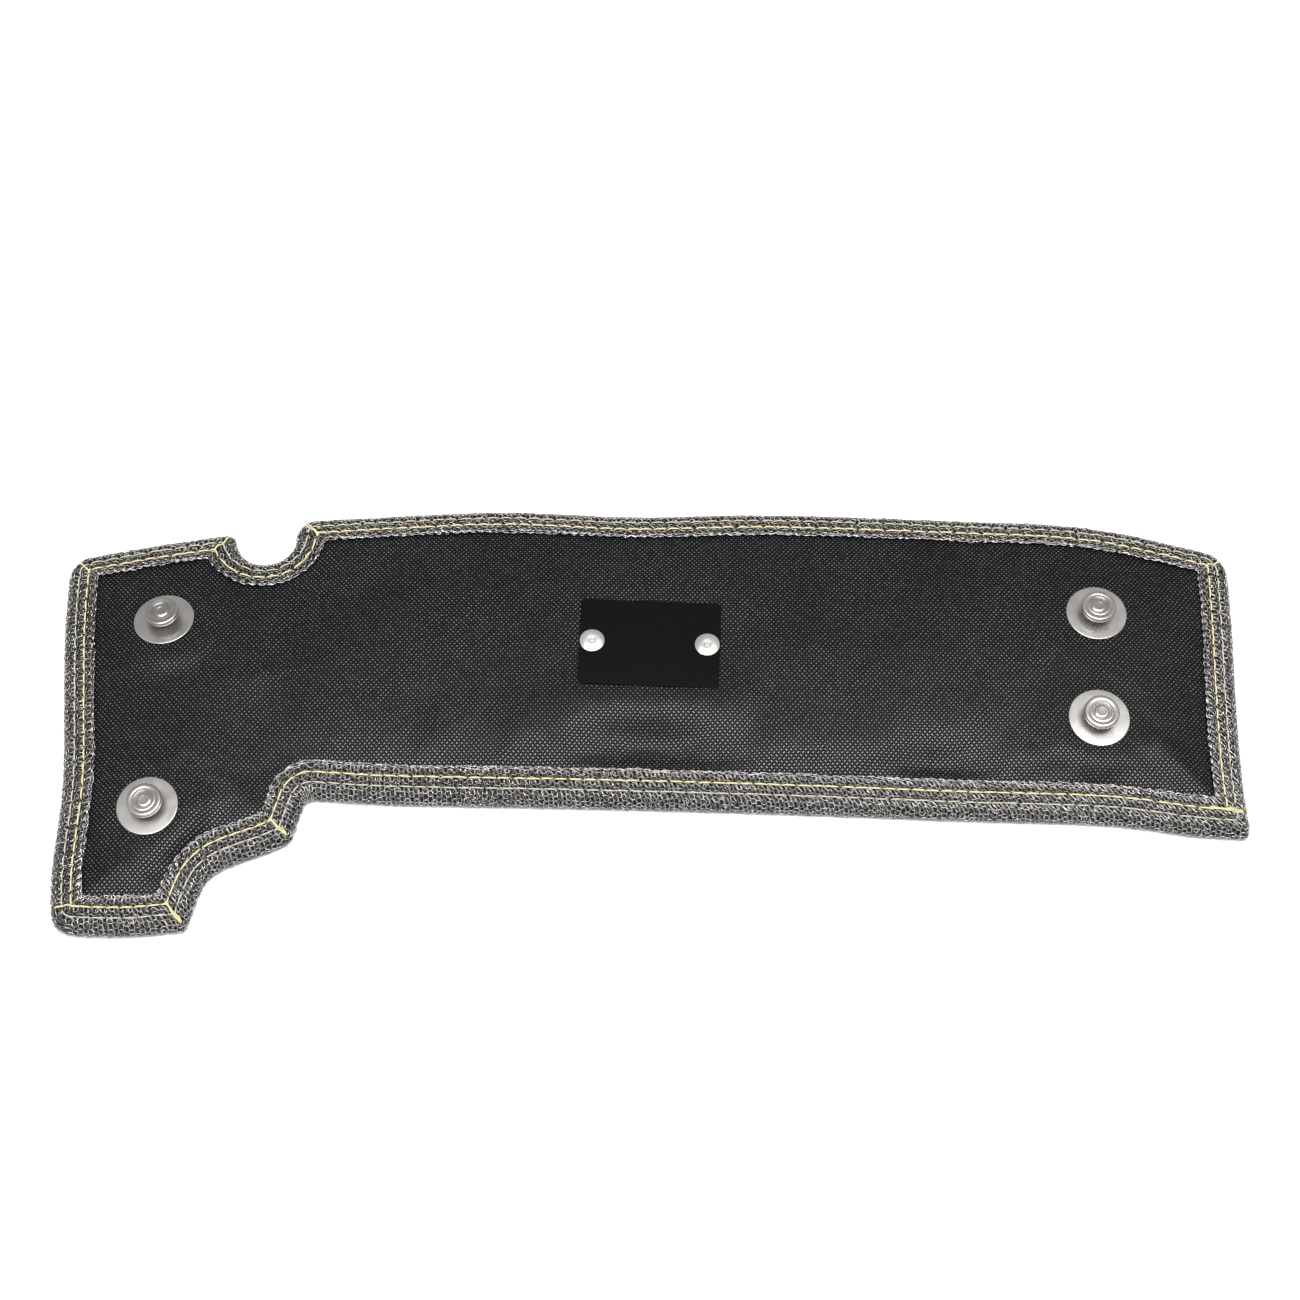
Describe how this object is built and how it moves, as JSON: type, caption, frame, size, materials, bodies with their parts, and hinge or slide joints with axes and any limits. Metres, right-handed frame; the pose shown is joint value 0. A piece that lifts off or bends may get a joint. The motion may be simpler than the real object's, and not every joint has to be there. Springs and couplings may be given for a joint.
{
  "type": "turbo heat blanket",
  "caption": "Flat quilted insulation jacket with a knitted steel cover, a black woven face, lacing anchors and a bare name plate, for wrapping round a hot turbine housing.",
  "frame": {"origin": "centre of the bounding box on the plan, at the height of the flat hot face", "axes": "+X along the blanket's length towards the square end, +Y towards the edge with the notch, +Z out of the black face"},
  "size_m": [0.6212, 0.2456, 0.0309],
  "materials": {
    "knitted_wire": "knitted stainless wire",
    "outer_cloth": "black coated woven cloth",
    "insulation_mat": "needled fibre mat",
    "liner_cloth": "plain woven fibre cloth",
    "main_thread": "twisted aramid thread",
    "second_thread": "twisted aramid thread, dulled",
    "stainless": "bright stainless steel",
    "plate_black": "black anodised sheet",
    "rivet_metal": "tumbled aluminium"
  },
  "bodies": {
    "root": {"anchor_cap_lower_left": "stainless", "anchor_cap_lower_right": "stainless", "anchor_cap_upper_left": "stainless", "anchor_cap_upper_right": "stainless", "anchor_pin_lower_left": "stainless", "anchor_pin_lower_right": "stainless", "anchor_pin_upper_left": "stainless", "anchor_pin_upper_right": "stainless", "anchor_washer_lower_left": "stainless", "anchor_washer_lower_right": "stainless", "anchor_washer_upper_left": "stainless", "anchor_washer_upper_right": "stainless", "backing_washer_left": "rivet_metal", "backing_washer_right": "rivet_metal", "corner_tack_after_cove": "main_thread", "corner_tack_after_left": "main_thread", "corner_tack_after_lobe_bottom": "main_thread", "corner_tack_after_lobe_top": "main_thread", "corner_tack_after_notch": "main_thread", "corner_tack_after_right": "main_thread", "corner_tack_after_step": "main_thread", "corner_tack_after_top": "main_thread", "insulation_mat": "insulation_mat", "knitted_cover": "knitted_wire", "liner_cloth": "liner_cloth", "main_seam_bottom": "main_thread", "main_seam_cove": "main_thread", "main_seam_left": "main_thread", "main_seam_lobe_bottom": "main_thread", "main_seam_lobe_top": "main_thread", "main_seam_notch": "main_thread", "main_seam_right": "main_thread", "main_seam_step": "main_thread", "main_seam_top": "main_thread", "name_plate": "plate_black", "outer_cloth": "outer_cloth", "rivet_left": "rivet_metal", "rivet_mandrel_left": "rivet_metal", "rivet_mandrel_right": "rivet_metal", "rivet_right": "rivet_metal", "second_seam_bottom": "second_thread", "second_seam_cove": "second_thread", "second_seam_left": "second_thread", "second_seam_lobe_bottom": "second_thread", "second_seam_lobe_top": "second_thread", "second_seam_notch": "second_thread", "second_seam_right": "second_thread", "second_seam_step": "second_thread", "second_seam_top": "second_thread"}
  },
  "joints": []
}
